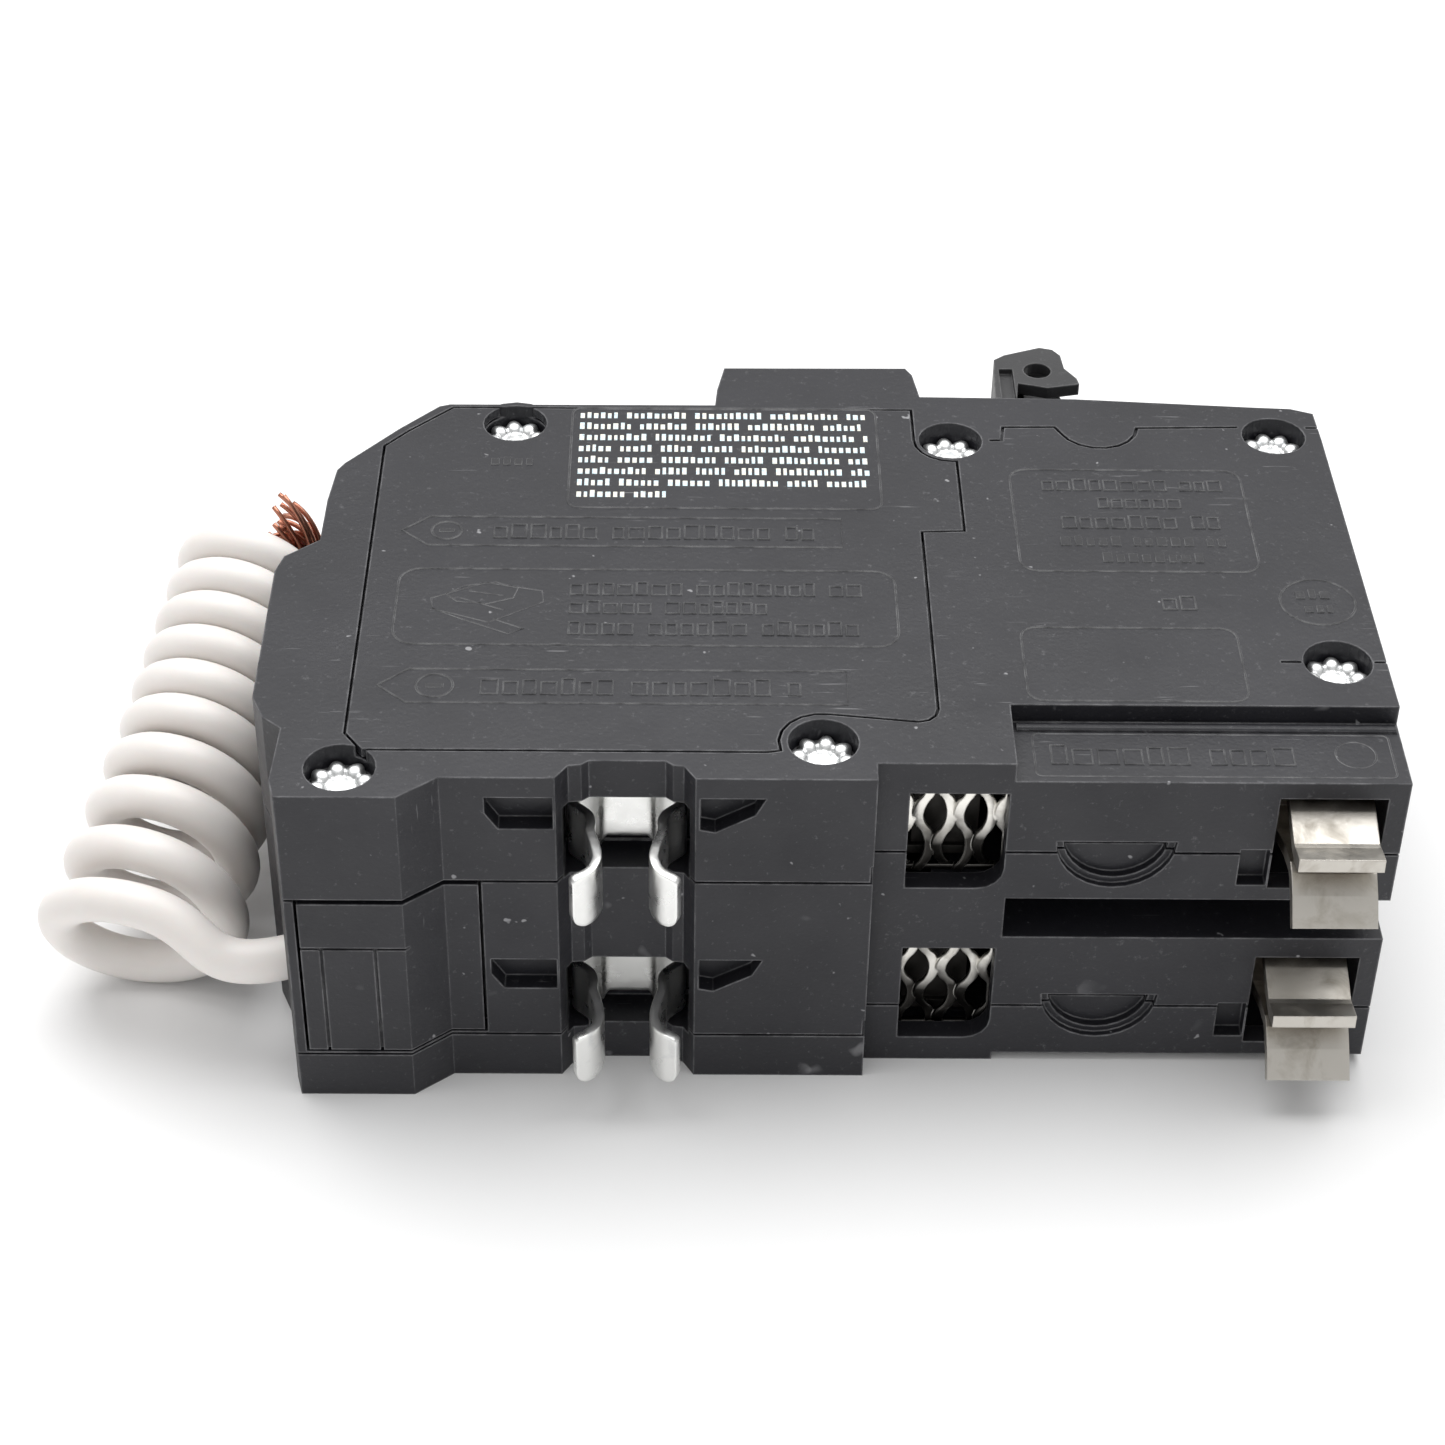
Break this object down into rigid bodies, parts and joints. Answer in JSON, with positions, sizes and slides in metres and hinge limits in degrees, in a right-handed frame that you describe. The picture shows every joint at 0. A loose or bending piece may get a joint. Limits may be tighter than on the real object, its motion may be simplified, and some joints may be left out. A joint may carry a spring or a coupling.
{
  "type": "gfci breaker",
  "caption": "Plug-on ground-fault circuit breaker with a tied handle, test button, box lugs, rail clips, bus jaws and a coiled neutral pigtail.",
  "frame": {"origin": "on the lower side face, 52 mm from the load end's back corner and 35 mm in front of the mounting foot", "axes": "+X from the load end to the line end, +Y from the mounting side to the handle side, +Z across the poles"},
  "size_m": [0.1308, 0.0832, 0.0381],
  "materials": {
    "case_plastic": "fine moulded texture, satin",
    "handle_plastic": "satin, worn edges",
    "button_plastic": "satin",
    "inner_plastic": "satin",
    "zinc_plate": "bright zinc plate",
    "tinned_copper": "dull tin with brown patches",
    "copper": "bare copper",
    "steel": "plain",
    "bimetal": "rolled",
    "lug_aluminium": "extruded, tin plated",
    "lead_insulation": "smooth",
    "pigtail_insulation": "warm white, smooth",
    "toroid_winding": "varnished",
    "board_laminate": "solder mask",
    "capacitor_sleeve": "shrink sleeve",
    "chip_epoxy": "moulded",
    "varistor_coat": "dipped"
  },
  "bodies": {
    "case": {"base_case": "case_plastic", "center_case": "case_plastic", "upper_case": "case_plastic", "load_side_cover": "case_plastic", "load_back_cover": "case_plastic", "test_switch": "inner_plastic", "cord_bush": "inner_plastic", "rivet_1": "zinc_plate", "rivet_2": "zinc_plate", "rivet_3": "zinc_plate", "rivet_4": "zinc_plate", "rivet_5": "zinc_plate", "rivet_6": "zinc_plate", "rail_clip_a": "zinc_plate", "rail_clip_b": "zinc_plate", "vent_screen_a": "zinc_plate", "vent_screen_b": "zinc_plate", "line_jaw_a": "tinned_copper", "line_jaw_b": "tinned_copper", "solenoid_coil": "copper", "pigtail_bare_end": "copper", "arc_chute_a": "steel", "arc_chute_b": "steel", "toggle_spring_a": "steel", "toggle_spring_b": "steel", "magnet_yoke_a": "steel", "magnet_yoke_b": "steel", "solenoid_frame": "steel", "test_spring": "steel", "bimetal_a": "bimetal", "bimetal_b": "bimetal", "load_lug_a": "lug_aluminium", "load_lug_n": "lug_aluminium", "load_lug_b": "lug_aluminium", "load_lead_a": "lead_insulation", "load_lead_b": "lead_insulation", "neutral_lead": "lead_insulation", "pigtail_lead": "pigtail_insulation", "pigtail_coil": "pigtail_insulation", "sensing_toroid": "toroid_winding", "grounded_neutral_toroid": "toroid_winding", "circuit_board": "board_laminate", "smoothing_capacitor": "capacitor_sleeve", "control_chip": "chip_epoxy", "surge_varistor": "varistor_coat"},
    "handle": {"handle_a": "handle_plastic", "handle_b": "handle_plastic", "handle_tie": "handle_plastic"},
    "contact_arm_a": {"contact_arm_a": "copper"},
    "contact_arm_b": {"contact_arm_b": "copper"},
    "trip_lever_a": {"trip_lever_a": "steel"},
    "trip_lever_b": {"trip_lever_b": "steel"},
    "armature_a": {"armature_a": "steel"},
    "armature_b": {"armature_b": "steel"},
    "trip_bar": {"trip_bar": "inner_plastic"},
    "plunger": {"solenoid_plunger": "steel"},
    "test_button": {"test_button": "button_plastic"},
    "lug_screw_a": {"lug_screw_a": "steel"},
    "lug_screw_n": {"lug_screw_n": "steel"},
    "lug_screw_b": {"lug_screw_b": "steel"}
  },
  "joints": [
    {"name": "handle_pivot", "type": "hinge", "parent": "case", "child": "handle", "pos_m": [0.029, 0.022, 0.01905], "axis": [0, 0, -1], "range_deg": [0, 32]},
    {"name": "contact_arm_pivot_a", "type": "hinge", "parent": "case", "child": "contact_arm_a", "pos_m": [0.0255, 0.014, 0.0086], "axis": [0, 0, 1], "range_deg": [0, 9.1], "deforming": ["toggle_spring_a"]},
    {"name": "contact_arm_pivot_b", "type": "hinge", "parent": "case", "child": "contact_arm_b", "pos_m": [0.0255, 0.014, 0.029], "axis": [0, 0, 1], "range_deg": [0, 9.1], "deforming": ["toggle_spring_b"]},
    {"name": "trip_lever_pivot_a", "type": "hinge", "parent": "case", "child": "trip_lever_a", "pos_m": [0.041, 0.011, 0.0116], "axis": [0, 0, 1], "range_deg": [0, 10]},
    {"name": "trip_lever_pivot_b", "type": "hinge", "parent": "case", "child": "trip_lever_b", "pos_m": [0.041, 0.011, 0.032], "axis": [0, 0, 1], "range_deg": [0, 10.1]},
    {"name": "armature_pivot_a", "type": "hinge", "parent": "case", "child": "armature_a", "pos_m": [0.0072, 0.0115, 0.0086], "axis": [0, 0, -1], "range_deg": [0, 4]},
    {"name": "armature_pivot_b", "type": "hinge", "parent": "case", "child": "armature_b", "pos_m": [0.0072, 0.0115, 0.029], "axis": [0, 0, -1], "range_deg": [0, 4.1]},
    {"name": "trip_bar_pivot", "type": "hinge", "parent": "case", "child": "trip_bar", "pos_m": [0.004, 0.021, 0.01905], "axis": [0, 0, 1], "range_deg": [0, 6.1]},
    {"name": "plunger_slide", "type": "slide", "parent": "case", "child": "plunger", "axis": [1, 0, 0], "range_m": [0, 0.00062]},
    {"name": "test_button_press", "type": "slide", "parent": "case", "child": "test_button", "axis": [0, -1, 0], "range_m": [0, 0.0015], "stiffness_N_per_m": 400, "deforming": ["test_spring"]},
    {"name": "lug_screw_turn_a", "type": "hinge", "parent": "case", "child": "lug_screw_a", "pos_m": [-0.043, 0.02, 0.0076], "axis": [0, -1, 0], "continuous": true},
    {"name": "lug_screw_turn_n", "type": "hinge", "parent": "case", "child": "lug_screw_n", "pos_m": [-0.043, 0.02, 0.01905], "axis": [0, -1, 0], "continuous": true},
    {"name": "lug_screw_turn_b", "type": "hinge", "parent": "case", "child": "lug_screw_b", "pos_m": [-0.043, 0.02, 0.03025], "axis": [0, -1, 0], "continuous": true}
  ],
  "couplings": [
    {"joint": "contact_arm_pivot_a", "follows": "handle_pivot", "ratio": 0.281},
    {"joint": "contact_arm_pivot_b", "follows": "handle_pivot", "ratio": 0.281},
    {"joint": "trip_lever_pivot_b", "follows": "trip_lever_pivot_a", "ratio": 1},
    {"joint": "armature_pivot_b", "follows": "armature_pivot_a", "ratio": 1},
    {"joint": "trip_bar_pivot", "follows": "armature_pivot_a", "ratio": 1.5},
    {"joint": "plunger_slide", "follows": "armature_pivot_a", "m_per_rad": 0.00855}
  ]
}
